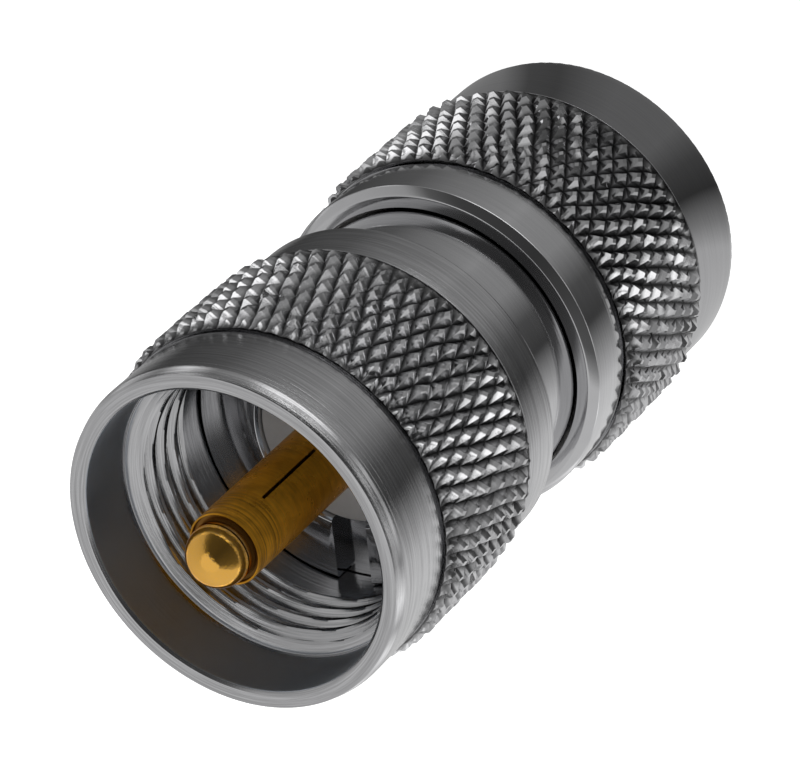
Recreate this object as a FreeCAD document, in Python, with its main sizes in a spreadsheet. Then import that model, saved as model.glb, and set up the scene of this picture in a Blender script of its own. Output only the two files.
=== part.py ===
import FreeCAD, Part
import math
import os
import re

import Sketcher

# Plug-to-plug coaxial adapter: a turned barrel carries a long contact pin and an
# insulator at each end, and two knurled coupling nuts spin and slide on the barrel.
# The adapter stands on its lower nut. +Z is the common axis and z = 0 is the floor.
# Lengths are millimetres, angles are degrees.

# Driving dimensions
DIMENSIONS = [
    ("NutLength", 16.5, "coupling nut, rim to rear face"),
    ("NutWall", 1.05, "wall of the nut at its plain bands, over the rear bore"),
    ("FrontBand", 4.3, "length of the plain band behind the rim"),
    ("RearBand", 3.0, "length of the plain band at the rear"),
    ("RimBevelLength", 0.6, "outer bevel of the rim, along the axis"),
    ("RimBevelHeight", 0.18, "outer bevel of the rim, across the axis"),
    ("RimChamfer", 0.2, "inner chamfer of the rim"),
    ("RearBevel", 0.42, "outer bevel of the rear face"),
    ("BoreChamfer", 0.15, "chamfer of the rear bore"),
    ("KnurlStand", 0.55, "knurl tips above the plain bands"),
    ("KnurlFloor", 0.05, "knurl valleys above the plain bands, where they cross"),
    ("ReliefDepth", 0.25, "depth of the tool relief beside the knurl"),
    ("ReliefWidth", 0.25, "width of the tool relief beside the knurl"),
    ("KnurlTeethTop", 64, "knurl points around the upper nut"),
    ("KnurlRowTop", 1.26, "step from one knurl row to the next, upper nut"),
    ("KnurlTeethBottom", 60, "knurl points around the lower nut"),
    ("KnurlRowBottom", 0.98, "step from one knurl row to the next, lower nut"),
    ("MouthWall", 1.05, "wall of the nut round its smooth mouth"),
    ("MouthDepth", 3.7, "depth of the smooth mouth"),
    ("LeadStep", 0.2, "step from the smooth mouth to the thread's lead chamfer"),
    ("LeadLength", 0.45, "lead chamfer along the axis"),
    ("ThreadMinorRadius", 7.42, "crest of the 5/8-24 inside thread"),
    ("ThreadLength", 3.8, "threaded stretch"),
    ("RunOutLength", 0.55, "cone from the thread to the rear bore"),
    ("RearLip", 1.15, "lip of the nut behind the ring groove"),
    ("NutClearance", 0.15, "nut bore over barrel, on the radius"),
    ("NutFloat", 2.7, "slide of each nut along the barrel"),
    ("BarrelLength", 13.2, "barrel, face to face"),
    ("BarrelRadius", 8.2, "outside of the barrel"),
    ("BarrelChamfer", 0.18, "outer chamfer of the barrel's faces"),
    ("SlotWidth", 2.0, "notch across the barrel's face"),
    ("SlotDepth", 0.9, "depth of that notch"),
    ("RingSetback", 1.1, "barrel face to retaining ring"),
    ("RingThickness", 0.8, "retaining ring along the axis"),
    ("RingPlay", 0.05, "play on each side of the ring"),
    ("RingSeat", 0.58, "depth of the retaining ring in the barrel"),
    ("RingStand", 0.5, "retaining ring standing out of the barrel"),
    ("RingClearance", 0.1, "ring to the floor of either groove"),
    ("RingOpening", 20.0, "opening of the retaining ring, in degrees"),
    ("PocketRadius", 4.8, "insulator pocket in the barrel"),
    ("PocketChamfer", 0.15, "chamfer at the mouth of the pocket"),
    ("InsulatorRecess", 0.4, "barrel face to insulator face"),
    ("InsulatorThickness", 3.2, "insulator along the axis"),
    ("InsulatorFit", 0.02, "insulator to barrel and to pin, on the radius"),
    ("WebRadius", 3.6, "bore of the barrel between the pockets"),
    ("PinRadius", 1.98, "contact pin"),
    ("SeatRadius", 1.8, "pin where the insulator and the barrel surround it"),
    ("SeatRunOut", 0.2, "that thinner seat past the insulator's face"),
    ("DomeRadius", 1.6, "domed nose and neck of the pin"),
    ("NeckLength", 0.5, "neck behind the dome"),
    ("ShoulderChamfer", 0.12, "chamfer of the shoulder behind the neck"),
    ("CollarRadius", 2.6, "collar that bears on the insulator's back"),
    ("CollarThickness", 0.9, "that collar along the axis"),
    ("SlitSetback", 4.6, "pin tip to the start of the slit"),
    ("SlitLength", 5.2, "slit along the axis"),
    ("SlitWidth", 0.25, "slit across"),
    ("PinTurn", -29.0, "turn of the slit about the axis, in degrees"),
    ("StudRadius", 0.8, "joining stud"),
    ("StudLength", 6.0, "joining stud along the axis"),
    ("StudFit", 0.02, "stud to its hole, on the radius"),
    ("StudEndRoom", 0.3, "hole beyond each end of the stud"),
]

# Places worked out from the driving dimensions, in the sheet's words
PIN_REACH = "(NutLength - RearLip - RingPlay - RingThickness - RingSetback)"
MIDDLE = f"({PIN_REACH} + BarrelLength / 2)"
HALF_BARREL = "(BarrelLength / 2)"
INSULATOR_FRONT = f"({HALF_BARREL} - InsulatorRecess)"
INSULATOR_BACK = f"({INSULATOR_FRONT} - InsulatorThickness)"
RING_TOP = f"({HALF_BARREL} - RingSetback)"
RING_BOTTOM = f"({RING_TOP} - RingThickness)"
PIN_TIP = f"({HALF_BARREL} + {PIN_REACH})"
KNURL_START = "(FrontBand + ReliefWidth)"
KNURL_END = "(NutLength - RearBand - ReliefWidth)"
NUT_BORE = "(BarrelRadius + NutClearance)"
BAND_RADIUS = f"({NUT_BORE} + NutWall)"
RELIEF_RADIUS = f"({BAND_RADIUS} - ReliefDepth)"
MOUTH_RADIUS = f"({BAND_RADIUS} - MouthWall)"
THREAD_START = "(MouthDepth + LeadLength)"
THREAD_END = f"({THREAD_START} + ThreadLength)"
RING_INNER = "(BarrelRadius - RingSeat)"
RING_OUTER = "(BarrelRadius + RingStand)"

document = FreeCAD.newDocument("coax_adapter")
sheet = document.addObject("Spreadsheet::Sheet", "Sizes")
for row, (alias, number, meaning) in enumerate(DIMENSIONS, start=1):
    sheet.set(f"A{row}", meaning)
    sheet.set(f"B{row}", str(number))
    sheet.setAlias(f"B{row}", alias)
document.recompute()


def in_sheet(words):
    """The same expression with each capitalised word read from the sheet."""
    return re.sub(r"[A-Z][A-Za-z]+", r"Sizes.\g<0>", words)


def size(words):
    """The number that an expression in the sheet's words has now."""
    return float(sheet.evalExpression(in_sheet(words)))


def bind(thing, name, words):
    """Tie one property of a thing to an expression in the sheet's words."""
    thing.setExpression(name, in_sheet(words))


def new_body(label):
    """An empty turned or cut form with a label of its own."""
    body = document.addObject("PartDesign::Body", label)
    body.Label = label
    return body


def origin_plane(body, role):
    """One of the three planes through the body's own origin."""
    return next(item for item in body.Origin.OriginFeatures if item.Role == role)


def hold_point(sketch, line, across, along):
    """Hold the start of a line at two distances from the sketch's origin."""
    for kind, axis, words in (("DistanceX", -2, across), ("DistanceY", -1, along)):
        if words == "0":
            sketch.addConstraint(Sketcher.Constraint("PointOnObject", line, 1, axis))
            continue
        number = sketch.addConstraint(Sketcher.Constraint(kind, -1, 1, line, 1, size(words)))
        title = f"{kind}_{line}"
        sketch.renameConstraint(number, title)
        bind(sketch, f"Constraints.{title}", words)


def draw_outline(body, name, role, corners):
    """Closed outline of straight lines on an origin plane, held at each corner."""
    sketch = body.newObject("Sketcher::SketchObject", f"{name}_outline")
    sketch.AttachmentSupport = [(origin_plane(body, role), "")]
    sketch.MapMode = "FlatFace"
    points = [FreeCAD.Vector(size(across), size(along), 0) for across, along in corners]
    for start, end in zip(points, points[1:] + points[:1]):
        sketch.addGeometry(Part.LineSegment(start, end), False)
    for line in range(len(points)):
        following = (line + 1) % len(points)
        sketch.addConstraint(Sketcher.Constraint("Coincident", line, 2, following, 1))
    for line, (across, along) in enumerate(corners):
        hold_point(sketch, line, across, along)
    sketch.Visibility = False
    return sketch


def turn_form(body, name, corners, sweep="360"):
    """Turned form: an outline of (radius, height) corners swept about the Z axis."""
    sketch = draw_outline(body, name, "XZ_Plane", corners)
    revolution = body.newObject("PartDesign::Revolution", name)
    revolution.Profile = sketch
    revolution.ReferenceAxis = (sketch, ["V_Axis"])
    bind(revolution, "Angle", sweep)
    return revolution


def cut_slot(body, name, width, start, end, side):
    """Straight slot along X, centred on the axis, between two heights."""
    corners = [("0", start), (width, start), (width, end), ("0", end)]
    sketch = draw_outline(body, name, "YZ_Plane", corners)
    bind(sketch, "AttachmentOffset.Base.x", f"-({width}) / 2")
    pocket = body.newObject("PartDesign::Pocket", name)
    pocket.Profile = sketch
    pocket.Type = "ThroughAll"
    pocket.SideType = side
    pocket.Reversed = side == "One side"
    return pocket


def place(thing, height, flipped=False, turn="0"):
    """Stand a piece at a height on the common axis, upside down where it is flipped."""
    thing.Placement = FreeCAD.Placement(
        FreeCAD.Vector(0, 0, size(height)),
        FreeCAD.Rotation(FreeCAD.Vector(0, 0, 1), size(turn))
        * FreeCAD.Rotation(FreeCAD.Vector(1, 0, 0), 180 if flipped else 0),
    )
    bind(thing, "Placement.Base.z", height)


# Coupling nuts: local z runs from the rim, at 0, to the rear face


def nut_outside(label):
    """Outside form of a nut: bevelled rim, two plain bands and the waist under the knurl."""
    body = new_body(f"{label}_outside")
    turn_form(body, f"{label}_bands", [
        ("0", "0"),
        (f"{BAND_RADIUS} - RimBevelHeight", "0"),
        (BAND_RADIUS, "RimBevelLength"),
        (BAND_RADIUS, "FrontBand"),
        (RELIEF_RADIUS, "FrontBand"),
        (RELIEF_RADIUS, "NutLength - RearBand"),
        (BAND_RADIUS, "NutLength - RearBand"),
        (BAND_RADIUS, "NutLength - RearBevel"),
        (f"{BAND_RADIUS} - RearBevel", "NutLength"),
        ("0", "NutLength"),
    ])
    return body


def nut_hollow(label):
    """Hollow of a nut: smooth mouth, thread crests, run-out, ring groove and rear bore."""
    groove_start = f"({PIN_REACH} - NutFloat + RingSetback - RingPlay)"
    groove_end = "(NutLength - RearLip)"
    groove_radius = f"({RING_OUTER} + RingClearance)"
    body = new_body(f"{label}_hollow")
    turn_form(body, f"{label}_bore", [
        ("0", "0"),
        (f"{MOUTH_RADIUS} + RimChamfer", "0"),
        (MOUTH_RADIUS, "RimChamfer"),
        (MOUTH_RADIUS, "MouthDepth"),
        (f"{MOUTH_RADIUS} - LeadStep", "MouthDepth"),
        ("ThreadMinorRadius", THREAD_START),
        ("ThreadMinorRadius", THREAD_END),
        (NUT_BORE, f"{THREAD_END} + RunOutLength"),
        (NUT_BORE, groove_start),
        (groove_radius, groove_start),
        (groove_radius, groove_end),
        (NUT_BORE, groove_end),
        (NUT_BORE, "NutLength - BoreChamfer"),
        (f"{NUT_BORE} + BoreChamfer", "NutLength"),
        ("0", "NutLength"),
    ])
    return body


def knurl_point(column, row, teeth, row_height):
    """Corner of the knurl's net: tips and valley crossings alternate like a chessboard."""
    stand = "KnurlStand" if (column + row) % 2 == 0 else "KnurlFloor"
    radius = size(f"{BAND_RADIUS} + {stand}")
    angle = math.pi * column / teeth
    height = size(KNURL_START) + row * row_height
    return FreeCAD.Vector(radius * math.cos(angle), radius * math.sin(angle), height)


def flat_face(points):
    """Flat face inside a closed run of straight edges."""
    return Part.Face(Part.makePolygon(points + points[:1]))


def diamond_knurl(label, teeth, row_step):
    """Knurled sleeve: rows of four-sided points, cut off square at both ends."""
    teeth = round(teeth)
    zone = size(KNURL_END) - size(KNURL_START)
    rows = max(2, round(zone / row_step))
    row_height = zone / rows
    columns = 2 * teeth
    net = [[knurl_point(column, row, teeth, row_height) for column in range(columns)]
           for row in range(rows + 1)]
    faces = []
    for row in range(rows):
        for column in range(columns):
            right = (column + 1) % columns
            near_left, near_right = net[row][column], net[row][right]
            far_left, far_right = net[row + 1][column], net[row + 1][right]
            if (column + row) % 2 == 0:
                # The fold runs between the two valley crossings of this cell
                faces.append(flat_face([near_left, near_right, far_left]))
                faces.append(flat_face([near_right, far_right, far_left]))
            else:
                faces.append(flat_face([near_left, near_right, far_right]))
                faces.append(flat_face([near_left, far_right, far_left]))
    faces.append(flat_face(net[0][::-1]))
    faces.append(flat_face(net[rows]))
    shell = Part.Shell(faces)
    shell.sewShape()
    knurl = document.addObject("Part::Feature", f"{label}_knurl")
    knurl.Shape = Part.Solid(Part.Shell(shell.Faces))
    knurl.Placement = FreeCAD.Placement()
    return knurl


def coupling_nut(label, teeth, row_step, height, flipped):
    """One nut: the outside and its knurl joined, less the hollow."""
    outer = document.addObject("Part::Fuse", f"{label}_blank")
    outer.Base = nut_outside(label)
    outer.Tool = diamond_knurl(label, teeth, row_step)
    nut = document.addObject("Part::Cut", label)
    nut.Label = label
    nut.Base = outer
    nut.Tool = nut_hollow(label)
    place(nut, height, flipped)
    return nut


# Barrel: local z runs from its lower face to its upper face


def barrel():
    """Turned barrel with a ring groove, a pocket and a notched face at each end."""
    groove_radius = f"({RING_INNER} - RingClearance)"
    lower_groove = ("RingSetback - RingPlay", "RingSetback + RingThickness + RingPlay")
    upper_groove = tuple(f"BarrelLength - ({height})" for height in reversed(lower_groove))
    pocket_depth = "InsulatorRecess + InsulatorThickness"
    body = new_body("barrel")
    turn_form(body, "barrel_turned", [
        ("PocketRadius + PocketChamfer", "0"),
        ("BarrelRadius - BarrelChamfer", "0"),
        ("BarrelRadius", "BarrelChamfer"),
        ("BarrelRadius", lower_groove[0]),
        (groove_radius, lower_groove[0]),
        (groove_radius, lower_groove[1]),
        ("BarrelRadius", lower_groove[1]),
        ("BarrelRadius", upper_groove[0]),
        (groove_radius, upper_groove[0]),
        (groove_radius, upper_groove[1]),
        ("BarrelRadius", upper_groove[1]),
        ("BarrelRadius", "BarrelLength - BarrelChamfer"),
        ("BarrelRadius - BarrelChamfer", "BarrelLength"),
        ("PocketRadius + PocketChamfer", "BarrelLength"),
        ("PocketRadius", "BarrelLength - PocketChamfer"),
        ("PocketRadius", f"BarrelLength - ({pocket_depth})"),
        ("WebRadius", f"BarrelLength - ({pocket_depth})"),
        ("WebRadius", pocket_depth),
        ("PocketRadius", pocket_depth),
        ("PocketRadius", "PocketChamfer"),
    ])
    document.recompute()
    lower_slot = cut_slot(body, "lower_slot", "SlotWidth", "0", "SlotDepth", "Symmetric")
    upper_slot = cut_slot(
        body, "upper_slot", "SlotWidth", "BarrelLength - SlotDepth", "BarrelLength", "Symmetric")
    body.Tip = upper_slot
    place(body, PIN_REACH)
    return [body, lower_slot, upper_slot]


# Inner pieces: local z runs from the middle of the barrel out to one end


def insulator(label, flipped):
    """Bush that holds the pin in the middle of the barrel."""
    body = new_body(label)
    turn_form(body, f"{label}_bush", [
        ("SeatRadius + InsulatorFit", INSULATOR_BACK),
        ("PocketRadius - InsulatorFit", INSULATOR_BACK),
        ("PocketRadius - InsulatorFit", INSULATOR_FRONT),
        ("SeatRadius + InsulatorFit", INSULATOR_FRONT),
    ])
    place(body, MIDDLE, flipped)
    return body


def contact_pin(label, flipped):
    """Pin with a domed nose on a short neck, a slit shank, a collar and a stud hole."""
    hole_radius = "(StudRadius + StudFit)"
    hole_depth = "(StudLength / 2 + StudEndRoom)"
    dome_centre = f"({PIN_TIP} - DomeRadius)"
    shoulder = f"({dome_centre} - NeckLength)"
    body = new_body(label)
    turn_form(body, f"{label}_shank", [
        (hole_radius, "0"),
        ("SeatRadius", "0"),
        ("SeatRadius", f"{INSULATOR_BACK} - CollarThickness"),
        ("CollarRadius", f"{INSULATOR_BACK} - CollarThickness"),
        ("CollarRadius", INSULATOR_BACK),
        ("SeatRadius", INSULATOR_BACK),
        ("SeatRadius", f"{INSULATOR_FRONT} + SeatRunOut"),
        ("PinRadius", f"{INSULATOR_FRONT} + SeatRunOut"),
        ("PinRadius", f"{shoulder} - ShoulderChamfer"),
        ("PinRadius - ShoulderChamfer", shoulder),
        ("DomeRadius", shoulder),
        ("DomeRadius", dome_centre),
        ("0", dome_centre),
        ("0", hole_depth),
        (hole_radius, hole_depth),
    ])
    document.recompute()
    dome = body.newObject("PartDesign::AdditiveSphere", f"{label}_dome")
    dome.Angle1 = 0
    bind(dome, "Radius", "DomeRadius")
    bind(dome, "Placement.Base.z", dome_centre)
    document.recompute()
    slit = cut_slot(body, f"{label}_slit", "SlitWidth", f"{PIN_TIP} - SlitSetback - SlitLength",
                    f"{PIN_TIP} - SlitSetback", "One side")
    body.Tip = slit
    place(body, MIDDLE, flipped, "PinTurn")
    return [body, dome, slit]


def retaining_ring(label, flipped):
    """Open spring ring that lies in the barrel's groove and carries the nut."""
    body = new_body(label)
    turn_form(body, f"{label}_wire", [
        (RING_INNER, RING_BOTTOM),
        (RING_OUTER, RING_BOTTOM),
        (RING_OUTER, RING_TOP),
        (RING_INNER, RING_TOP),
    ], "360 - RingOpening")
    place(body, MIDDLE, flipped)
    return body


def joining_stud():
    """Stud that joins the two pins, half of it in each."""
    stud = document.addObject("Part::Cylinder", "joining_stud")
    stud.Label = "joining_stud"
    bind(stud, "Radius", "StudRadius")
    bind(stud, "Height", "StudLength")
    place(stud, f"{MIDDLE} - StudLength / 2")
    return stud


barrel_steps = barrel()
upper_pin_steps = contact_pin("contact_pin_top", False)
lower_pin_steps = contact_pin("contact_pin_bottom", True)
total_height = f"(2 * {PIN_REACH} + BarrelLength)"
pieces = [
    coupling_nut("coupling_nut_top", size("KnurlTeethTop"), size("KnurlRowTop"),
                 f"{total_height} - NutFloat", True),
    coupling_nut("coupling_nut_bottom", size("KnurlTeethBottom"), size("KnurlRowBottom"),
                 "0", False),
    barrel_steps[0],
    insulator("insulator_top", False),
    insulator("insulator_bottom", True),
    upper_pin_steps[0],
    lower_pin_steps[0],
    joining_stud(),
    retaining_ring("retaining_ring_top", False),
    retaining_ring("retaining_ring_bottom", True),
]
document.recompute()


# Nothing is written unless every step came out whole and every cut took something away


def removes_material(step):
    """True where a cut leaves less than the form it started from."""
    return step.Shape.Volume < step.BaseFeature.Shape.Volume


for item in document.Objects:
    faults = {"Invalid", "Error"} & set(item.State)
    if faults:
        raise RuntimeError(f"{item.Label} did not compute: {sorted(faults)}")
for step in barrel_steps[1:] + upper_pin_steps[2:] + lower_pin_steps[2:]:
    if not removes_material(step):
        raise RuntimeError(f"{step.Label} cuts nothing")
for piece in pieces:
    if piece.Shape.isNull() or not piece.Shape.isValid():
        raise RuntimeError(f"{piece.Label} has no valid shape")
    if len(piece.Shape.Solids) != 1:
        raise RuntimeError(f"{piece.Label} is not one solid")

os.makedirs("parts", exist_ok=True)
for piece in pieces:
    piece.Shape.exportStep(f"parts/{piece.Label}.step")
    box = piece.Shape.BoundBox
    print(f"{piece.Label}: {piece.Shape.Volume:.1f} mm3, z {box.ZMin:.2f} to {box.ZMax:.2f}, "
          f"width {box.XLength:.2f}, {len(piece.Shape.Faces)} faces")
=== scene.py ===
# %% [markdown]
# # Coaxial adapter with a plug at both ends
# Two knurled coupling nuts spin and slide on one turned barrel, and a gilt pin stands in
# the middle of each nut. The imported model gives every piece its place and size, and this
# lesson dresses it: finer edges, a cut knurl, a helical thread and metal finishes.

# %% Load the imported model
import math

import bmesh
import bpy
from mathutils import Matrix, Vector, noise


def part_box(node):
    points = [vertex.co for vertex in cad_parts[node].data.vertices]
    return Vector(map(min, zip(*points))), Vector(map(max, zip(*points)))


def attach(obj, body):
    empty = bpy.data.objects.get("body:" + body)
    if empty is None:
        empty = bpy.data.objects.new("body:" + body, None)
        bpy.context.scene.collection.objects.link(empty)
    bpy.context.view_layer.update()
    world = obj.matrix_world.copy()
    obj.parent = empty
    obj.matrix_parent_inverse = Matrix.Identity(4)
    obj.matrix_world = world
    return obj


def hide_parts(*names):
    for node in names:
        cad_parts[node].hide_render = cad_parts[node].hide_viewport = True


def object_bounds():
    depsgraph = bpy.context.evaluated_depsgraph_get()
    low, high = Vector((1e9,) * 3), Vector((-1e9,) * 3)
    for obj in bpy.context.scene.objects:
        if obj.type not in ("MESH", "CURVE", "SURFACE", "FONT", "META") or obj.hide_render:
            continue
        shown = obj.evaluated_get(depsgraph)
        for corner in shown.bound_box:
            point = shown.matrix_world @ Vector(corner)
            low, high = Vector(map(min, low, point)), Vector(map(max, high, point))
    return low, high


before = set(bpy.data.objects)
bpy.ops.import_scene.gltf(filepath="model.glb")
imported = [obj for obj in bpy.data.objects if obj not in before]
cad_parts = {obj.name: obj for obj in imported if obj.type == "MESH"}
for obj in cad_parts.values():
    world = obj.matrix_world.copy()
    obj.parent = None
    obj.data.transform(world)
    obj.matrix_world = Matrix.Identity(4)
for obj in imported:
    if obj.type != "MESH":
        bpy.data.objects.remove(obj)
cad_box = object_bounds()
print("CAD box in metres:", [tuple(round(c, 5) for c in corner) for corner in cad_box])

# %% [markdown]
# ## Working in millimetres
# Turned parts are drawn in millimetres, so each mesh is shaped in millimetres and scaled
# to metres once, at the end. The named sizes are those of the real pieces. Heights inside
# a nut run from its rim, as a machinist would measure them with the nut face down.

# %% Sizes shared by several pieces
MM = 0.001
lower_corner, upper_corner = cad_box
TOTAL_HEIGHT = (upper_corner[2] - lower_corner[2]) / MM
UPPER_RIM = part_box("coupling_nut_top")[1][2] / MM
MIDDLE = TOTAL_HEIGHT / 2
BARREL_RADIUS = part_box("barrel")[1][0] / MM
BARREL_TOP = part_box("barrel")[1][2] / MM
INSULATOR_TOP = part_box("insulator_top")[1][2] / MM
INSULATOR_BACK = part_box("insulator_top")[0][2] / MM
print(f"height {TOTAL_HEIGHT:.2f} mm, upper rim at {UPPER_RIM:.2f} mm")


# %% [markdown]
# ## A lathe in bmesh
# Almost everything here comes off a lathe, so one helper does what the lathe does. It
# draws half a cross-section as a single face, rounds the corners of that face with a
# vertex bevel, drops the face and spins what is left round the Z axis. A real edge is
# never perfectly sharp, and the rounding is what catches the light.

# %% Draw, round and spin a cross-section
def draw_section(corners):
    """Closed half section; each corner is (radius, height, rounding) in millimetres."""
    bm = bmesh.new()
    points = [bm.verts.new((radius, 0, height)) for radius, height, _ in corners]
    bm.faces.new(points)
    for rounding in sorted({corner[2] for corner in corners} - {0}):
        chosen = [point for point, corner in zip(points, corners) if corner[2] == rounding]
        bmesh.ops.bevel(bm, geom=chosen, offset=rounding, offset_type="OFFSET",
                        affect="VERTICES", segments=3, profile=0.5, material=-1)
    bmesh.ops.delete(bm, geom=bm.faces[:], context="FACES_ONLY")
    return bm


def divide(bm, start, end, parts):
    """Cut the straight line between two (radius, height) corners into equal parts."""
    ends = [Vector((radius, 0, height)) for radius, height in (start, end)]
    for edge in bm.edges[:]:
        near = [min((vert.co - point).length for vert in edge.verts) for point in ends]
        if max(near) < 1e-3:
            bmesh.ops.subdivide_edges(bm, edges=[edge], cuts=parts - 1)
            return
    raise ValueError(f"no line from {start} to {end}")


def spin_section(bm, steps):
    """Turn the section once round Z, close the seam and point the faces outwards."""
    bmesh.ops.spin(bm, geom=bm.verts[:] + bm.edges[:], cent=(0, 0, 0), axis=(0, 0, 1),
                   dvec=(0, 0, 0), angle=2 * math.pi, steps=steps, use_merge=True,
                   use_duplicate=False)
    bmesh.ops.remove_doubles(bm, verts=bm.verts[:], dist=1e-4)
    bmesh.ops.recalc_face_normals(bm, faces=bm.faces[:])


def finish_piece(bm, name, node, body, sharp_angle=38, flat_beyond=99.0):
    """Scale the mesh to metres, shade it and hand it to the frame."""
    for face in bm.faces:
        nearest = min(math.hypot(vert.co.x, vert.co.y) for vert in face.verts)
        face.smooth = nearest < flat_beyond
    bmesh.ops.scale(bm, vec=(MM, MM, MM), verts=bm.verts[:])
    mesh = bpy.data.meshes.new(name)
    bm.to_mesh(mesh)
    bm.free()
    mesh.set_sharp_from_angle(angle=math.radians(sharp_angle))
    piece = bpy.data.objects.new(name, mesh)
    bpy.context.scene.collection.objects.link(piece)
    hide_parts(node)
    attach(piece, body)
    triangles = sum(len(polygon.vertices) - 2 for polygon in mesh.polygons)
    print(f"{name}: {triangles} triangles")
    return piece


def turn_over(bm, rim_height):
    """Turn a piece upside down and stand its zero height at the given level."""
    bmesh.ops.rotate(bm, cent=(0, 0, 0), matrix=Matrix.Rotation(math.pi, 3, "X"),
                     verts=bm.verts[:])
    bmesh.ops.translate(bm, vec=(0, 0, rim_height), verts=bm.verts[:])


# %% [markdown]
# ## The coupling nut's cross-section
# From the rim back: a bevelled rim, a plain band, a narrow relief where the knurling
# wheel starts, the knurl, the same at the other end, and a bevelled rear face. Inside:
# a smooth mouth, the thread, the groove for the retaining ring and the bore that runs on
# the barrel. One closed section holds all of it, so the nut is a single turned solid.

# %% The nut's sizes
NUT_LENGTH = 16.5
BAND_RADIUS = 9.4
FRONT_BAND = 4.3
REAR_BAND = 3.0
RELIEF_RADIUS = 9.15
RELIEF_WIDTH = 0.25
KNURL_ROOT = 9.45
GROOVE_FLOOR = 9.47
KNURL_TIP = 9.95
KNURL_START = FRONT_BAND + RELIEF_WIDTH
KNURL_END = NUT_LENGTH - REAR_BAND - RELIEF_WIDTH
BORE_RADIUS = 8.35
SLIDE_BORE = 8.27
MOUTH_DEPTH = 3.7
LEAD_RADIUS = 8.15
THREAD_MINOR = 7.42
THREAD_MAJOR = 7.94
THREAD_START = 4.15
THREAD_END = 7.95
RUN_OUT_END = 8.5
PITCH = 25.4 / 24
GROOVE_RADIUS = 8.8
GROOVE_START = 11.75
GROOVE_END = 15.35
CELL = 4


def nut_section(rows):
    """Section of a nut, with enough points along the knurl and the thread."""
    bm = draw_section([
        (BAND_RADIUS - 0.18, 0, 0.04),
        (BAND_RADIUS, 0.6, 0.15),
        (BAND_RADIUS, FRONT_BAND, 0.05),
        (RELIEF_RADIUS, FRONT_BAND, 0),
        (RELIEF_RADIUS, KNURL_START, 0),
        (KNURL_ROOT, KNURL_START, 0),
        (KNURL_ROOT, KNURL_END, 0),
        (RELIEF_RADIUS, KNURL_END, 0),
        (RELIEF_RADIUS, NUT_LENGTH - REAR_BAND, 0),
        (BAND_RADIUS, NUT_LENGTH - REAR_BAND, 0.05),
        (BAND_RADIUS, NUT_LENGTH - 0.42, 0.08),
        (BAND_RADIUS - 0.42, NUT_LENGTH, 0.08),
        (SLIDE_BORE + 0.05, NUT_LENGTH, 0.02),
        (SLIDE_BORE, NUT_LENGTH - 0.05, 0.02),
        (SLIDE_BORE, GROOVE_END, 0),
        (GROOVE_RADIUS, GROOVE_END, 0),
        (GROOVE_RADIUS, GROOVE_START, 0),
        (SLIDE_BORE, GROOVE_START, 0),
        (SLIDE_BORE, RUN_OUT_END, 0),
        (THREAD_MINOR, THREAD_END, 0),
        (THREAD_MINOR, THREAD_START, 0),
        (LEAD_RADIUS, MOUTH_DEPTH, 0),
        (BORE_RADIUS, MOUTH_DEPTH, 0.04),
        (BORE_RADIUS, 0.2, 0.05),
        (BORE_RADIUS + 0.2, 0, 0.04),
    ])
    divide(bm, (KNURL_ROOT, KNURL_START), (KNURL_ROOT, KNURL_END), rows * CELL)
    divide(bm, (THREAD_MINOR, THREAD_START), (THREAD_MINOR, THREAD_END), 56)
    divide(bm, (LEAD_RADIUS, MOUTH_DEPTH), (THREAD_MINOR, THREAD_START), 8)
    divide(bm, (THREAD_MINOR, THREAD_END), (SLIDE_BORE, RUN_OUT_END), 9)
    return bm


# %% [markdown]
# ## The diamond knurl
# Two wheels roll two families of slanting V grooves, and what stands between them is a
# field of four-sided points. Pasting hundreds of small pyramids would leave seams, so the
# spun surface is moved in and out instead: at each point the height is the smaller of
# its distances to the nearest groove of either family. The mesh has four cells from a
# point to the next groove crossing, and each cell is split along the groove. Real knurls
# are not perfect: rolled metal tears and smears, so the grooves wander a little.

# %% Press the knurl into the spun surface
def groove_distance(steps):
    """0 in the middle of a groove, 1 half way to the next, grooves lying at odd steps."""
    return abs(steps % 2 - 1)


TIP_FLAT = CELL / (CELL - 1)
END_FADE = 0.6


def press_knurl(bm, teeth, rows, wander, shallow):
    """Move the plain sleeve between the reliefs to the heights of the knurl."""
    row_height = (KNURL_END - KNURL_START) / rows
    for vert in bm.verts:
        x, y, height = vert.co
        if abs(math.hypot(x, y) - KNURL_ROOT) > 1e-3:
            continue
        spot = Vector((x, y, height))
        angle = math.atan2(y, x)
        column = angle * teeth / math.pi
        row = (height - KNURL_START) / row_height
        first = groove_distance(column + row)
        second = groove_distance(column - row)
        stand = min(1, min(shallow + (1 - shallow) * first, second) * TIP_FLAT)
        stand *= 1 - 0.8 * wander * abs(noise.noise(spot * 0.7))
        fade = min(1, min(height - KNURL_START, KNURL_END - height) / END_FADE)
        stand *= 0.15 + 0.85 * fade
        target = GROOVE_FLOOR + (KNURL_TIP - GROOVE_FLOOR) * stand
        drift = noise.noise_vector(spot * 0.5) * wander
        angle += drift.x * math.pi / teeth
        vert.co = (target * math.cos(angle), target * math.sin(angle),
                   height + drift.z * row_height * fade)


def split_along_grooves(bm):
    """Split each knurl cell along the groove: the level diagonal, or else the lower one."""
    along = {"FIXED": [], "ALTERNATE": []}
    for face in bm.faces:
        if len(face.verts) != 4:
            continue
        if min(math.hypot(vert.co.x, vert.co.y) for vert in face.verts) < KNURL_ROOT - 1e-3:
            continue
        depth = [math.hypot(vert.co.x, vert.co.y) for vert in face.verts]
        score = [depth[i] + depth[i + 2] + 3 * abs(depth[i] - depth[i + 2]) for i in (0, 1)]
        along["FIXED" if score[0] <= score[1] else "ALTERNATE"].append(face)
    for method, faces in along.items():
        bmesh.ops.triangulate(bm, faces=faces, quad_method=method)


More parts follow.
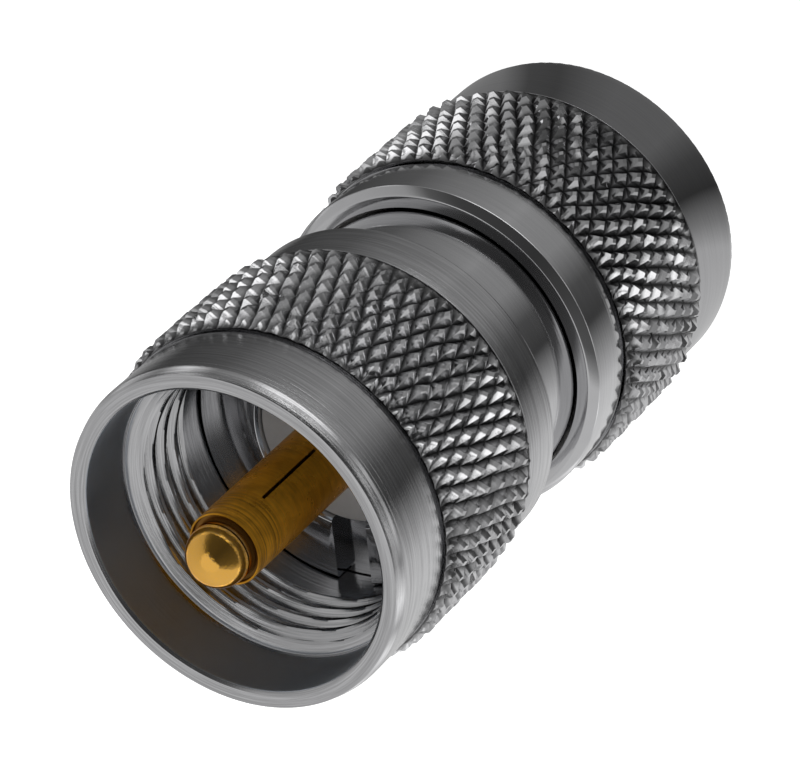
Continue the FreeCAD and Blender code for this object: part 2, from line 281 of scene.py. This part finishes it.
# %% [markdown]
# ## The inside thread
# The nut carries a 24-per-inch right-hand thread. Its crests are the plain bore of the
# CAD model and its roots are cut outwards from there. The spun rows are pushed out by a
# helical phase: a flat root, a straight flank and a flat crest. Over the lead chamfer and
# the run-out the bore is already wider, and the larger of the two radii wins, so the
# thread fades in and out as a real one does.

# %% Cut the helix
def cut_thread(bm):
    """Push the rows between the chamfers out to the flanks and roots of the thread."""
    for vert in bm.verts:
        x, y, height = vert.co
        radius = math.hypot(x, y)
        in_stretch = MOUTH_DEPTH + 1e-3 < height < RUN_OUT_END - 1e-3
        if not in_stretch or radius > BORE_RADIUS - 1e-3:
            continue
        phase = (height / PITCH - math.atan2(y, x) / (2 * math.pi)) % 1
        from_root = abs(phase - 0.5) * 2
        flank = min(1, max(0, (from_root - 0.125) / 0.625))
        target = max(radius, THREAD_MAJOR + (THREAD_MINOR - THREAD_MAJOR) * flank)
        vert.co.x = x * target / radius
        vert.co.y = y * target / radius


def coupling_nut(name, node, body, teeth, rows, wander, shallow, upper):
    """A whole nut, rim up where it is the upper one."""
    bm = nut_section(rows)
    spin_section(bm, 2 * teeth * CELL)
    press_knurl(bm, teeth, rows, wander, shallow)
    cut_thread(bm)
    split_along_grooves(bm)
    if upper:
        turn_over(bm, UPPER_RIM)
    return finish_piece(bm, name, node, body, flat_beyond=GROOVE_FLOOR - 1e-3)


upper_nut = coupling_nut("upper_coupling_nut", "coupling_nut_top", "upper_nut",
                         64, 7, 0.24, 0.05, True)
lower_nut = coupling_nut("lower_coupling_nut", "coupling_nut_bottom", "lower_nut",
                         60, 9, 0.20, 0.0, False)

# %% [markdown]
# ## The barrel
# The barrel is one turned piece with a groove for each retaining ring, a pocket for each
# insulator and a notch across each end face. Its middle shows between the nuts, polished.
# The notches are milled, so they are cut with a box and a boolean, applied at once.

# %% Turn the barrel and mill its notches
PIN_REACH = MIDDLE - (BARREL_TOP - MIDDLE)
POCKET_RADIUS = 4.8
POCKET_FLOOR = INSULATOR_BACK
WEB_RADIUS = 3.6
RING_GROOVE_FLOOR = 7.52
RING_GROOVE = (24.65, 25.55)
NOTCH_WIDTH = 2.0
NOTCH_DEPTH = 0.9


def mirrored_section(upper_half):
    """Section of a piece whose lower half mirrors its upper half, from outside inwards."""
    lower_half = [(radius, 2 * MIDDLE - height, rounding)
                  for radius, height, rounding in reversed(upper_half)]
    return upper_half + lower_half


def cut_boxes(bm, boxes):
    """Subtract boxes, each given by its centre, size and turn about Z, from a mesh."""
    body_mesh = bpy.data.meshes.new("blank")
    bm.to_mesh(body_mesh)
    bm.free()
    blank = bpy.data.objects.new("blank", body_mesh)
    cutter_bm = bmesh.new()
    for centre, dimensions, turn in boxes:
        place = (Matrix.Rotation(math.radians(turn), 4, "Z")
                 @ Matrix.Translation(centre) @ Matrix.Diagonal((*dimensions, 1)))
        bmesh.ops.create_cube(cutter_bm, size=1, matrix=place)
    cutter_mesh = bpy.data.meshes.new("cutter")
    cutter_bm.to_mesh(cutter_mesh)
    cutter_bm.free()
    cutter = bpy.data.objects.new("cutter", cutter_mesh)
    for item in (blank, cutter):
        bpy.context.scene.collection.objects.link(item)
    boolean = blank.modifiers.new("cut", "BOOLEAN")
    boolean.operation = "DIFFERENCE"
    boolean.solver = "EXACT"
    boolean.object = cutter
    depsgraph = bpy.context.evaluated_depsgraph_get()
    result = bmesh.new()
    result.from_mesh(blank.evaluated_get(depsgraph).to_mesh())
    for item in (blank, cutter):
        bpy.data.objects.remove(item)
    return result


barrel_bm = draw_section(mirrored_section([
    (WEB_RADIUS, POCKET_FLOOR, 0),
    (POCKET_RADIUS, POCKET_FLOOR, 0),
    (POCKET_RADIUS, BARREL_TOP - 0.15, 0),
    (POCKET_RADIUS + 0.15, BARREL_TOP, 0.03),
    (BARREL_RADIUS - 0.08, BARREL_TOP, 0.02),
    (BARREL_RADIUS, BARREL_TOP - 0.08, 0.02),
    (BARREL_RADIUS, RING_GROOVE[1], 0.04),
    (RING_GROOVE_FLOOR, RING_GROOVE[1], 0),
    (RING_GROOVE_FLOOR, RING_GROOVE[0], 0),
    (BARREL_RADIUS, RING_GROOVE[0], 0.04),
]))
spin_section(barrel_bm, 192)
notches = [((0, 0, BARREL_TOP - NOTCH_DEPTH / 2 + 1), (40, NOTCH_WIDTH, NOTCH_DEPTH + 2), 0),
           ((0, 0, PIN_REACH + NOTCH_DEPTH / 2 - 1), (40, NOTCH_WIDTH, NOTCH_DEPTH + 2), 0)]
barrel = finish_piece(cut_boxes(barrel_bm, notches), "turned_barrel", "barrel",
                      "barrel_assembly")

# %% [markdown]
# ## The insulators
# Each end of the barrel holds a white fluoropolymer bush. It is turned too, and sits a
# little below the end face, with eased edges.

# %% Turn the insulators
PIN_RADIUS = 1.98
SEAT_RADIUS = 1.8
FIT = 0.02


def insulator(name, node, upper):
    """Bush between the pin and the barrel's pocket."""
    bm = draw_section([
        (SEAT_RADIUS + FIT, INSULATOR_BACK, 0),
        (POCKET_RADIUS - FIT, INSULATOR_BACK, 0),
        (POCKET_RADIUS - FIT, INSULATOR_TOP, 0.12),
        (SEAT_RADIUS + FIT, INSULATOR_TOP, 0.05),
    ])
    spin_section(bm, 96)
    if not upper:
        turn_over(bm, TOTAL_HEIGHT)
    return finish_piece(bm, name, node, "barrel_assembly")


upper_bush = insulator("upper_insulator", "insulator_top", True)
lower_bush = insulator("lower_insulator", "insulator_bottom", False)

# %% [markdown]
# ## The contact pins
# The pin ends in a domed nose on a short neck, behind which a shoulder steps up to the
# full shank. The dome's outline is a quarter circle, drawn by spinning a single vertex
# about the dome's centre, and the rest of the outline is extruded from it point by point.
# A saw slit runs along the shank behind the nose.

# %% Turn the pins and saw their slits
DOME_RADIUS = 1.66
DOME_CENTRE = TOTAL_HEIGHT - DOME_RADIUS
SHOULDER = DOME_CENTRE - 0.5
COLLAR_RADIUS = 2.6
COLLAR_BOTTOM = INSULATOR_BACK - 0.9
STUD_HOLE_RADIUS = 0.82
STUD_HOLE_TOP = MIDDLE + 3.3
SLIT_TOP = TOTAL_HEIGHT - 4.6
SLIT_LENGTH = 5.2
SLIT_WIDTH = 0.18
SLIT_TURN = -29


def pin_section():
    """Open outline of the pin from its tip to the bottom of the stud hole."""
    bm = bmesh.new()
    tip = bm.verts.new((0, 0, TOTAL_HEIGHT))
    bmesh.ops.spin(bm, geom=[tip], cent=(0, 0, DOME_CENTRE), axis=(0, -1, 0),
                   dvec=(0, 0, 0), angle=math.pi / 2, steps=20, use_merge=False,
                   use_duplicate=False)
    last = min(bm.verts, key=lambda vert: vert.co.z)
    rest = [(DOME_RADIUS, DOME_CENTRE - 0.1), (DOME_RADIUS, SHOULDER - 0.2),
            (PIN_RADIUS - 0.14, SHOULDER - 0.2), (PIN_RADIUS - 0.11, SHOULDER - 0.03),
            (PIN_RADIUS - 0.08, SHOULDER), (PIN_RADIUS - 0.03, SHOULDER),
            (PIN_RADIUS, SHOULDER - 0.03), (PIN_RADIUS, INSULATOR_TOP + 0.2),
            (SEAT_RADIUS, INSULATOR_TOP + 0.2), (SEAT_RADIUS, INSULATOR_BACK),
            (COLLAR_RADIUS, INSULATOR_BACK), (COLLAR_RADIUS, COLLAR_BOTTOM),
            (SEAT_RADIUS, COLLAR_BOTTOM), (SEAT_RADIUS, MIDDLE),
            (STUD_HOLE_RADIUS, MIDDLE), (STUD_HOLE_RADIUS, STUD_HOLE_TOP),
            (0, STUD_HOLE_TOP)]
    for radius, height in rest:
        made = bmesh.ops.extrude_vert_indiv(bm, verts=[last])
        last = made["verts"][0]
        last.co = (radius, 0, height)
    return bm


def contact_pin(name, node, upper):
    """Pin of one end, its slit turned to the same side as in the CAD model."""
    bm = pin_section()
    spin_section(bm, 96)
    if not upper:
        turn_over(bm, TOTAL_HEIGHT)
    slit_middle = SLIT_TOP - SLIT_LENGTH / 2
    height = slit_middle if upper else TOTAL_HEIGHT - slit_middle
    slit = [((1.5, 0, height), (3, SLIT_WIDTH, SLIT_LENGTH), SLIT_TURN)]
    return finish_piece(cut_boxes(bm, slit), name, node, "barrel_assembly", 30)


upper_pin = contact_pin("upper_contact_pin", "contact_pin_top", True)
lower_pin = contact_pin("lower_contact_pin", "contact_pin_bottom", False)

# %% [markdown]
# ## Building materials from nodes
# Every finish is made of nodes. A small helper adds a node, sets its options and either
# links a socket or writes its value, which keeps the finishes short to read.

# %% Helpers for node materials
def add_node(tree, kind, sockets=None, **options):
    """New node with its options set, and its sockets linked or given values."""
    node = tree.nodes.new(kind)
    for option, value in options.items():
        setattr(node, option, value)
    for socket, value in (sockets or {}).items():
        if isinstance(value, bpy.types.NodeSocket):
            tree.links.new(value, node.inputs[socket])
        else:
            node.inputs[socket].default_value = value
    return node


def math_node(tree, operation, first, second=0.0):
    """Result of one Math node."""
    return add_node(tree, "ShaderNodeMath", {0: first, 1: second}, operation=operation).outputs[0]


def new_finish(name):
    """Empty material with its tree and its Principled shader."""
    material = bpy.data.materials.new(name)
    material.use_nodes = True
    return material, material.node_tree, material.node_tree.nodes["Principled BSDF"]


def ramp(tree, value, stops):
    """Colour ramp through (position, grey) stops."""
    node = add_node(tree, "ShaderNodeValToRGB", {"Fac": value})
    elements = node.color_ramp.elements
    while len(elements) < len(stops):
        elements.new(0.5)
    for element, (position, grey) in zip(elements, stops):
        element.position = position
        element.color = (grey, grey, grey, 1)
    return node.outputs["Color"]


# %% [markdown]
# ## Tool marks that follow the lathe
# A turning tool leaves fine rings: lines round a cylinder and circles on a flat face.
# Noise drawn on coordinates that hardly change around the axis, but change fast with
# radius plus height, gives both at once. Object coordinates keep the marks on the metal
# when the nut slides, because the piece's own origin moves with it.

# %% Coordinates for turned surfaces
def lathe_point(tree, around, feed):
    """Point for a noise texture: slow round the axis, fast along the tool's feed."""
    place = add_node(tree, "ShaderNodeTexCoord").outputs["Object"]
    flat = add_node(tree, "ShaderNodeVectorMath", {0: place, 1: (1, 1, 0)},
                    operation="MULTIPLY").outputs[0]
    radius = add_node(tree, "ShaderNodeVectorMath", {0: flat}, operation="LENGTH").outputs["Value"]
    unit = add_node(tree, "ShaderNodeVectorMath", {0: flat}, operation="NORMALIZE").outputs[0]
    slow = add_node(tree, "ShaderNodeVectorMath", {0: unit, "Scale": around},
                    operation="SCALE").outputs[0]
    height = add_node(tree, "ShaderNodeSeparateXYZ", {0: place}).outputs["Z"]
    travel = math_node(tree, "MULTIPLY", math_node(tree, "ADD", radius, height), feed)
    lift = add_node(tree, "ShaderNodeCombineXYZ", {"Z": travel}).outputs[0]
    return add_node(tree, "ShaderNodeVectorMath", {0: slow, 1: lift}, operation="ADD").outputs[0]


def noise_on(tree, point, scale, detail=3.0, roughness=0.55):
    """Grey noise at a point."""
    return add_node(tree, "ShaderNodeTexNoise", {
        "Vector": point, "Scale": scale, "Detail": detail, "Roughness": roughness,
    }).outputs["Fac"]


MOUTH_DULL = 0.35


def axis_distance(tree):
    """Distance of the shaded point from the adapter's axis, in metres."""
    place = add_node(tree, "ShaderNodeTexCoord").outputs["Object"]
    flat = add_node(tree, "ShaderNodeVectorMath", {0: place, 1: (1, 1, 0)},
                    operation="MULTIPLY").outputs[0]
    return add_node(tree, "ShaderNodeVectorMath", {0: flat}, operation="LENGTH").outputs["Value"]


def end_mask(tree, start):
    """0 nearer to the adapter's middle than a distance in millimetres, 1 beyond it."""
    place = add_node(tree, "ShaderNodeTexCoord").outputs["Object"]
    height = add_node(tree, "ShaderNodeSeparateXYZ", {0: place}).outputs["Z"]
    away = math_node(tree, "ABSOLUTE", math_node(tree, "SUBTRACT", height, MIDDLE * MM))
    return add_node(tree, "ShaderNodeMapRange", {
        "Value": away, "From Min": (start - 0.15) * MM, "From Max": (start + 0.15) * MM,
    }).outputs["Result"]


def turned_metal(name, colour, gloss, mark_depth, marks_per_mm, stain, marks_end=20.0):
    """Metal with tool marks out to a radius, uneven gloss (least, most) and a faint stain."""
    material, tree, shader = new_finish(name)
    place = add_node(tree, "ShaderNodeTexCoord").outputs["Object"]
    turned = math_node(tree, "LESS_THAN", axis_distance(tree), marks_end * MM)
    rings = noise_on(tree, lathe_point(tree, 0.6, marks_per_mm * 1000), 1.0, 3.0, 0.6)
    rings = math_node(tree, "MULTIPLY", rings, turned)
    patches = noise_on(tree, place, 420, 4.0)
    pits = noise_on(tree, place, 9000, 2.0)
    roughness = add_node(tree, "ShaderNodeMapRange", {
        "Value": patches, "From Min": 0.3, "From Max": 0.7, "To Min": gloss[0], "To Max": gloss[1],
    }).outputs["Result"]
    tree.links.new(roughness, shader.inputs["Roughness"])
    dull = tuple(part * (1 - stain) for part in colour)
    blend = add_node(tree, "ShaderNodeMix", data_type="RGBA")
    streaks = noise_on(tree, lathe_point(tree, 1.6, marks_per_mm * 800), 1.0, 3.0, 0.7)
    streaks = add_node(tree, "ShaderNodeMapRange", {
        "Value": streaks, "From Min": 0.35, "From Max": 0.65,
    }).outputs["Result"]
    rolled = math_node(tree, "SUBTRACT", 1.0, turned)
    tree.links.new(math_node(tree, "MAXIMUM", streaks, rolled), blend.inputs[0])
    blend.inputs[6].default_value = (*dull, 1)
    blend.inputs[7].default_value = (*colour, 1)
    tree.links.new(blend.outputs[2], shader.inputs["Base Color"])
    marks = add_node(tree, "ShaderNodeBump", {
        "Height": rings, "Strength": 1.0, "Distance": mark_depth,
    }).outputs["Normal"]
    grain = add_node(tree, "ShaderNodeBump", {
        "Height": pits, "Strength": 0.3, "Distance": mark_depth, "Normal": marks,
    }).outputs["Normal"]
    tree.links.new(grain, shader.inputs["Normal"])
    shader.inputs["Metallic"].default_value = 1.0
    return material


def nut_finish(name, gloss, mark_depth, stain):
    """Turned metal of a nut, duller on the wall of its mouth, with painted shade darkening the knurl's
    grooves and painted cool shade on the mouth wall.
    """
    finish = turned_metal(name, (0.62, 0.62, 0.63), gloss, mark_depth, 11, stain, KNURL_ROOT)
    tree = finish.node_tree
    shader = tree.nodes["Principled BSDF"]
    inside = add_node(tree, "ShaderNodeMapRange", {
        "Value": axis_distance(tree), "From Min": (BORE_RADIUS + 0.02) * MM,
        "From Max": (BORE_RADIUS + 0.06) * MM, "To Min": MOUTH_DULL, "To Max": 0.0,
    }).outputs["Result"]
    dull = math_node(tree, "MULTIPLY", inside, end_mask(tree, UPPER_RIM - MOUTH_DEPTH + 0.25 - MIDDLE))
    rough = shader.inputs["Roughness"].links[0].from_socket
    tree.links.new(math_node(tree, "ADD", rough, dull), shader.inputs["Roughness"])
    # Painted shade: the knurl is darkened towards its groove floors, where shade falls between the
    # points; the bands stay as they are.
    knurl_depth = add_node(tree, "ShaderNodeMapRange", {
        "Value": axis_distance(tree), "From Min": (BAND_RADIUS + 0.01) * MM,
        "From Max": KNURL_TIP * MM,
    }).outputs["Result"]
    painted_shade = ramp(tree, knurl_depth, [(0, 1), (0.08, 0.15), (0.3, 0.45), (0.6, 1)])
    metal = shader.inputs["Base Color"].links[0].from_socket
    groove_shaded = add_node(tree, "ShaderNodeMix", data_type="RGBA", blend_type="MULTIPLY")
    groove_shaded.inputs[0].default_value = 1.0
    tree.links.new(metal, groove_shaded.inputs[6])
    tree.links.new(painted_shade, groove_shaded.inputs[7])
    # Painted shade: the mouth wall's colour is blended to a darker, cooler grey, standing in for the
    # cool shade inside the nut.
    cool_mouth_shade = add_node(tree, "ShaderNodeMix", data_type="RGBA")
    tree.links.new(math_node(tree, "MULTIPLY", dull, 1 / MOUTH_DULL), cool_mouth_shade.inputs[0])
    tree.links.new(groove_shaded.outputs[2], cool_mouth_shade.inputs[6])
    cool_mouth_shade.inputs[7].default_value = (0.49, 0.54, 0.60, 1)
    tree.links.new(cool_mouth_shade.outputs[2], shader.inputs["Base Color"])
    return finish


brushed_nickel = nut_finish("brushed_nickel", (0.07, 0.18), 1e-5, 0.30)
smooth_nickel = nut_finish("smooth_nickel", (0.06, 0.13), 2e-6, 0.08)
barrel_nickel = turned_metal("polished_nickel", (0.60, 0.60, 0.61), (0.06, 0.12), 1e-6, 9, 0.08)
spring_steel = turned_metal("spring_steel", (0.42, 0.41, 0.40), (0.25, 0.35), 2e-6, 9, 0.1)
gold = turned_metal("gold_plate", (0.98, 0.46, 0.035), (0.22, 0.34), 3e-6, 9, 0.25)

tree = gold.node_tree
shader = tree.nodes["Principled BSDF"]
shader.inputs["Specular Tint"].default_value = (0.9, 0.6, 0.2, 1)
clouds = noise_on(tree, add_node(tree, "ShaderNodeTexCoord").outputs["Object"], 900, 4.0)
cloudy = add_node(tree, "ShaderNodeMix", data_type="RGBA", blend_type="MULTIPLY")
cloudy.inputs[0].default_value = 1.0
tree.links.new(shader.inputs["Base Color"].links[0].from_socket, cloudy.inputs[6])
tree.links.new(ramp(tree, clouds, [(0.35, 0.7), (0.62, 1.0)]), cloudy.inputs[7])
nose = end_mask(tree, SHOULDER + 0.2 - MIDDLE)
metallic = add_node(tree, "ShaderNodeMapRange", {"Value": nose, "To Min": 0.5, "To Max": 1.0})
tree.links.new(metallic.outputs["Result"], shader.inputs["Metallic"])
bright = add_node(tree, "ShaderNodeMix", data_type="RGBA")
tree.links.new(nose, bright.inputs[0])
tree.links.new(cloudy.outputs[2], bright.inputs[6])
bright.inputs[7].default_value = (0.95, 0.50, 0.06, 1)
# Painted shade: in the recess round the neck, below the dome, the gold is blended to a dark brown,
# standing in for the shade in that crevice.
recess = math_node(tree, "MULTIPLY",
                   math_node(tree, "LESS_THAN", axis_distance(tree), (PIN_RADIUS - 0.12) * MM),
                   math_node(tree, "SUBTRACT", 1.0, end_mask(tree, DOME_CENTRE - 0.1 - MIDDLE)))
painted_shade = add_node(tree, "ShaderNodeMix", data_type="RGBA")
tree.links.new(recess, painted_shade.inputs[0])
tree.links.new(bright.outputs[2], painted_shade.inputs[6])
painted_shade.inputs[7].default_value = (0.22, 0.10, 0.02, 1)
tree.links.new(painted_shade.outputs[2], shader.inputs["Base Color"])
polish = add_node(tree, "ShaderNodeMix", data_type="FLOAT")
tree.links.new(nose, polish.inputs[0])
tree.links.new(shader.inputs["Roughness"].links[0].from_socket, polish.inputs[2])
polish.inputs[3].default_value = 0.10
tree.links.new(polish.outputs[0], shader.inputs["Roughness"])
tree.links.new(math_node(tree, "MULTIPLY", nose, 0.6), shader.inputs["Coat Weight"])
shader.inputs["Coat IOR"].default_value = 1.8
shader.inputs["Coat Roughness"].default_value = 0.08
collar = math_node(tree, "SUBTRACT", end_mask(tree, SHOULDER - 2.3 - MIDDLE), nose)
cuts = noise_on(tree, lathe_point(tree, 0.25, 6000), 1.0, 1.0)
ringed = add_node(tree, "ShaderNodeMix", data_type="RGBA", blend_type="MULTIPLY")
tree.links.new(collar, ringed.inputs[0])
tree.links.new(shader.inputs["Base Color"].links[0].from_socket, ringed.inputs[6])
tree.links.new(ramp(tree, cuts, [(0.35, 0.45), (0.6, 1.0)]), ringed.inputs[7])
tree.links.new(ringed.outputs[2], shader.inputs["Base Color"])
cuts = math_node(tree, "MULTIPLY", cuts, collar)
mottle = noise_on(tree, add_node(tree, "ShaderNodeTexCoord").outputs["Object"], 4500, 3.0)
mottle = math_node(tree, "MULTIPLY", math_node(tree, "MULTIPLY", mottle, 0.3), nose)
marks = add_node(tree, "ShaderNodeBump", {
    "Height": math_node(tree, "ADD", cuts, mottle), "Strength": 1.0, "Distance": 4e-5,
    "Normal": shader.inputs["Normal"].links[0].from_socket,
})
tree.links.new(marks.outputs["Normal"], shader.inputs["Normal"])

# %% [markdown]
# ## The insulator's plastic
# Fluoropolymer is white but not opaque: light sinks in a little, so its edges glow. A
# small amount of subsurface and a waxy gloss do that, over faint turning rings.

# %% The insulator's finish
fluoropolymer, tree, shader = new_finish("fluoropolymer")
rings = noise_on(tree, lathe_point(tree, 0.5, 7000), 1.0, 3.0)
clouds = noise_on(tree, add_node(tree, "ShaderNodeTexCoord").outputs["Object"], 900, 3.0)
tint = ramp(tree, clouds, [(0.3, 0.70), (0.7, 0.78)])
tree.links.new(tint, shader.inputs["Base Color"])
bump = add_node(tree, "ShaderNodeBump", {"Height": rings, "Strength": 0.6, "Distance": 4e-6})
tree.links.new(bump.outputs["Normal"], shader.inputs["Normal"])
shader.inputs["Roughness"].default_value = 0.42
shader.inputs["Subsurface Weight"].default_value = 0.15
shader.inputs["Subsurface Radius"].default_value = (1.0, 0.95, 0.9)
shader.inputs["Subsurface Scale"].default_value = 0.0006

# %% [markdown]
# ## Giving each piece its finish
# The new pieces take one material each. The stud and the two retaining rings have the
# right shape already, so they keep their CAD meshes and only change their finish.

# %% Assign the finishes
for piece, material in ((upper_nut, brushed_nickel), (lower_nut, smooth_nickel),
                        (barrel, barrel_nickel), (upper_bush, fluoropolymer),
                        (lower_bush, fluoropolymer), (upper_pin, gold), (lower_pin, gold)):
    piece.data.materials.clear()
    piece.data.materials.append(material)
for node, material in (("joining_stud", gold), ("retaining_ring_top", spring_steel),
                       ("retaining_ring_bottom", spring_steel)):
    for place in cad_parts[node].material_slots:
        place.material = material
    print(node, "keeps its CAD shape and takes", material.name)

# %% [markdown]
# ## Floor and world
# The floor is pale and plain. It is a diffuse surface, so it takes the adapter's soft
# shadow, and it also glows for the camera and for rays that bounced off metal, which
# makes the white ground and lets the metal mirror it. The world does the same.

# %% Lay the floor
def seen_directly(tree):
    """1 for camera rays, mirror rays and rays through glass, 0 for light on dull surfaces."""
    path = add_node(tree, "ShaderNodeLightPath").outputs
    mirror = math_node(tree, "MAXIMUM", path["Is Glossy Ray"], path["Is Transmission Ray"])
    return math_node(tree, "MAXIMUM", path["Is Camera Ray"], mirror)


def add_stage_mesh(name, bm):
    """Floor or card that isn't part of the adapter."""
    mesh = bpy.data.meshes.new(name)
    bm.to_mesh(mesh)
    bm.free()
    thing = bpy.data.objects.new(name, mesh)
    bpy.context.scene.collection.objects.link(thing)
    return thing


floor_bm = bmesh.new()
bmesh.ops.create_grid(floor_bm, x_segments=1, y_segments=1, size=1.5)
floor = add_stage_mesh("floor", floor_bm)
floor_paint, tree, shader = new_finish("floor_paint")
shader.inputs["Base Color"].default_value = (0.85, 0.85, 0.85, 1)
shader.inputs["Roughness"].default_value = 0.9
shader.inputs["Specular IOR Level"].default_value = 0.0
shader.inputs["Emission Color"].default_value = (1, 1, 1, 1)
FLOOR_GLOW = 0.8
tree.links.new(math_node(tree, "MULTIPLY", seen_directly(tree), FLOOR_GLOW),
               shader.inputs["Emission Strength"])
floor.data.materials.append(floor_paint)

world = bpy.data.worlds.new("studio")
bpy.context.scene.world = world
world.use_nodes = True
tree = world.node_tree
WORLD_LIGHT = 0.45
strength = add_node(tree, "ShaderNodeMapRange", {
    "Value": seen_directly(tree), "To Min": WORLD_LIGHT, "To Max": 1.0,
}).outputs["Result"]
background = tree.nodes["Background"]
background.inputs["Color"].default_value = (1, 1, 1, 1)
tree.links.new(strength, background.inputs["Strength"])

# %% [markdown]
# ## Cards round the metal
# Metal looks like what it mirrors. A photographer stands dark cards beside a polished part so that its
# white sides get a dark core and a shape. These cards glow, darker or brighter round the adapter and
# some in bright stripes, and they are seen only in reflections: they are painted reflections and
# glints, they throw no shadow and the camera never sees them.

# %% Stand the cards
def graded_paint(name, stops, gain=1.0):
    """Glow that changes with the azimuth round the adapter; stops are (degrees, level)."""
    material = bpy.data.materials.new(name)
    material.use_nodes = True
    tree = material.node_tree
    tree.nodes.clear()
    place = add_node(tree, "ShaderNodeTexCoord").outputs["Object"]
    turn = add_node(tree, "ShaderNodeTexGradient", {"Vector": place}, gradient_type="RADIAL")
    level = ramp(tree, turn.outputs["Fac"], [(0.5 + turn_degrees / 360, grey)
                                             for turn_degrees, grey in stops])
    glow = add_node(tree, "ShaderNodeEmission", {"Color": level, "Strength": gain})
    add_node(tree, "ShaderNodeOutputMaterial", {"Surface": glow.outputs[0]})
    return material


def half_dark_paint(name, start, end, bright, dark):
    """Glow that falls from one level to another across the room, towards the camera."""
    material = bpy.data.materials.new(name)
    material.use_nodes = True
    tree = material.node_tree
    tree.nodes.clear()
    place = add_node(tree, "ShaderNodeTexCoord").outputs["Object"]
    across = add_node(tree, "ShaderNodeVectorMath", {0: place, 1: (0.7071, -0.7071, 0)},
                      operation="DOT_PRODUCT").outputs["Value"]
    level = add_node(tree, "ShaderNodeMapRange", {
        "Value": across, "From Min": start * MM, "From Max": end * MM,
        "To Min": bright, "To Max": dark,
    }).outputs["Result"]
    glow = add_node(tree, "ShaderNodeEmission", {"Strength": level})
    add_node(tree, "ShaderNodeOutputMaterial", {"Surface": glow.outputs[0]})
    return material


def stand_card(name, inner, outer, paint):
    """Ring or wall round the adapter, spun from a line between two (radius, height) ends."""
    bm = bmesh.new()
    ends = [bm.verts.new((radius * MM, 0, height * MM)) for radius, height in (inner, outer)]
    edge = bm.edges.new(ends)
    bmesh.ops.spin(bm, geom=ends + [edge], cent=(0, 0, 0), axis=(0, 0, 1), dvec=(0, 0, 0),
                   angle=2 * math.pi, steps=96, use_merge=True, use_duplicate=False)
    card = add_stage_mesh(name, bm)
    card.data.materials.append(paint)
    card.visible_camera = False
    card.visible_diffuse = False
    card.visible_shadow = False
    card.visible_transmission = False
    return card


FLOOR_GREYS = [(-180, 0.66), (-145, 0.78), (-125, 0.72), (-105, 0.36), (-88, 0.06), (-68, 0.10),
               (-48, 0.32), (-27, 0.34), (-22, 0.37), (-17, 0.34), (15, 0.22), (35, 0.12),
               (75, 0.06), (105, 0.35), (140, 0.60), (180, 0.66)]
NEAR_GREYS = [(-180, 0.62), (-116, 0.60), (-92, 0.53), (-82, 0.27), (-69, 0.04), (-57, 0.07),
              (-45, 0.15), (-21, 0.15), (-10, 0.12), (2, 0.07), (14, 0.08), (26, 0.20),
              (38, 0.23), (180, 0.62)]
WALL_GREYS = [(-180, 0.68), (-125, 0.66), (-117, 0.35), (-106, 0.12), (-80, 0.08), (-45, 0.05),
              (10, 0.07), (26, 0.13), (38, 0.42), (60, 0.50), (95, 0.55), (135, 0.62),
              (180, 0.68)]
STRIPE_GREYS = [(-180, 0.45), (-165, 0.75), (-150, 0.35), (-135, 0.85), (-115, 0.20), (-95, 0.50),
                (-80, 0.25), (-65, 0.45), (-48, 0.15), (-30, 0.90), (-5, 0.95), (10, 0.25),
                (30, 0.15), (45, 0.60), (60, 0.15), (80, 0.40), (92, 0.20), (108, 0.60),
                (125, 0.25), (140, 0.75), (155, 0.40), (170, 0.90), (180, 0.45)]
wall_paint = graded_paint("wall_greys", WALL_GREYS)
stripe_paint = graded_paint("stripe_greys", STRIPE_GREYS, 1.7)
stand_card("near_card", (9.24, 0.05), (16, 0.05), graded_paint("near_greys", NEAR_GREYS))
stand_card("low_card", (16, 0.05), (56, 0.05), graded_paint("low_greys", FLOOR_GREYS))
stand_card("striped_card", (56, 0.05), (115, 0.05), stripe_paint)
stand_card("far_card", (115, 0.05), (158, 0.05), graded_paint("far_greys", FLOOR_GREYS))
stand_card("strip_card", (158, 0), (158, 14), stripe_paint)
stand_card("wall_card", (160, 14), (160, 300), wall_paint)
stand_card("ceiling_card", (160, 300), (0.1, 300), half_dark_paint("ceiling_greys", 65, 90, 0.72, 0.06))

# %% [markdown]
# ## Lamps
# Two large soft lamps, one high behind the adapter and one at its side, light it evenly.

# %% Hang the lamps
def softbox(name, place, side, power):
    """Square lamp that faces the middle of the adapter."""
    lamp = bpy.data.lights.new(name, "AREA")
    lamp.shape = "SQUARE"
    lamp.size = side
    lamp.energy = power
    box = bpy.data.objects.new(name, lamp)
    target = Vector((0, 0, MIDDLE * MM))
    direction = target - Vector(place)
    box.location = place
    box.rotation_euler = direction.to_track_quat("-Z", "Y").to_euler()
    box.visible_glossy = False
    bpy.context.scene.collection.objects.link(box)
    return box


softbox("high_softbox", (-0.25, 0.35, 0.55), 0.30, 1.2)
softbox("side_softbox", (-0.50, -0.30, 0.20), 0.25, 0.8)

# %% [markdown]
# ## Camera
# The camera looks down into the upper nut from the corner between +X and -Y, and it is
# rolled so that the adapter lies from lower left to upper right.

# %% Place the camera
CAMERA_PLACE = Vector((111.728, -111.517, 198.141)) * MM
CAMERA_RIGHT = Vector((-0.09638, -0.86947, -0.48449))
CAMERA_UP = Vector((0.87792, 0.15510, -0.45299))
CAMERA_BACK = Vector((0.46900, -0.46900, 0.74838))
camera_data = bpy.data.cameras.new("camera")
camera_data.sensor_width = 36
camera_data.lens = 208.24
camera_data.clip_start = 0.01
camera = bpy.data.objects.new("camera", camera_data)
rotation = Matrix((CAMERA_RIGHT, CAMERA_UP, CAMERA_BACK)).transposed().to_4x4()
camera.matrix_world = Matrix.Translation(CAMERA_PLACE) @ rotation
bpy.context.scene.collection.objects.link(camera)
bpy.context.scene.camera = camera
bpy.context.scene.view_settings.view_transform = "Standard"
print("camera distance in mm:", round((CAMERA_PLACE.length) / MM, 1))
